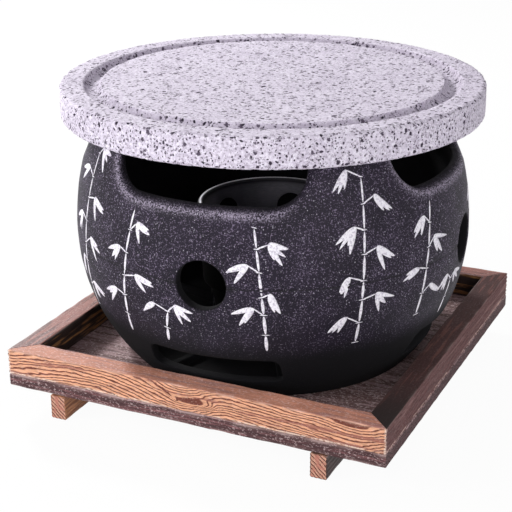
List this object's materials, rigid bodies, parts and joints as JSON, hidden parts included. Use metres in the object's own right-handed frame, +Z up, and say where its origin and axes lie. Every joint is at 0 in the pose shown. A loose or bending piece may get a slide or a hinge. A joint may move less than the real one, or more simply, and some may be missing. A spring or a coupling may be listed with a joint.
{
  "type": "charcoal brazier",
  "caption": "Round cast-metal charcoal brazier with rim notches and air slots, a loose stone grill slab on top, a charcoal cup inside and a mitred wooden tray on runners.",
  "frame": {"origin": "on the table under the common axis of the tray, bowl and slab", "axes": "+Z up along the bowl's axis, -Y towards the tray's front rail, +X to the right seen from the front; the bowl stands turned 5.2 degrees in the tray, as in the picture"},
  "size_m": [0.22, 0.22, 0.1655],
  "materials": {
    "pored_stone": "sawn, matt, with dark pores",
    "granular_coat": "cast aluminium under a granular black coat",
    "cup_steel": "drawn steel, heat darkened, bright bead",
    "grate_iron": "raw cast iron",
    "charred_board": "charred and brushed",
    "charred_front_rail": "charred and brushed, raised grain",
    "charred_rail": "charred and brushed",
    "runner_wood": "charred and brushed, plain end grain",
    "nail_steel": "bright wire"
  },
  "bodies": {
    "tray": {"tray_board": "charred_board", "front_rail": "charred_front_rail", "back_rail": "charred_rail", "left_rail": "charred_rail", "right_rail": "charred_rail", "left_runner": "runner_wood", "right_runner": "runner_wood", "rail_nails": "nail_steel", "runner_nails": "nail_steel"},
    "bowl": {"stove_bowl": "granular_coat"},
    "slab": {"stone_slab": "pored_stone"},
    "cup": {"charcoal_cup": "cup_steel"},
    "grate": {"fire_grate": "grate_iron"}
  },
  "joints": [
    {"name": "bowl_lift", "type": "slide", "parent": "tray", "child": "bowl", "axis": [0, 0, 1], "range_m": [0, 0.06]},
    {"name": "slab_lift", "type": "slide", "parent": "bowl", "child": "slab", "axis": [0, 0, 1], "range_m": [0, 0.3]},
    {"name": "cup_lift", "type": "slide", "parent": "bowl", "child": "cup", "axis": [0, 0, 1], "range_m": [0, 0.15]},
    {"name": "grate_lift", "type": "slide", "parent": "cup", "child": "grate", "axis": [0, 0, 1], "range_m": [0, 0.06]}
  ],
  "couplings": [
    {"joint": "cup_lift", "follows": "slab_lift", "ratio": 0.5},
    {"joint": "grate_lift", "follows": "slab_lift", "ratio": 0.2}
  ]
}
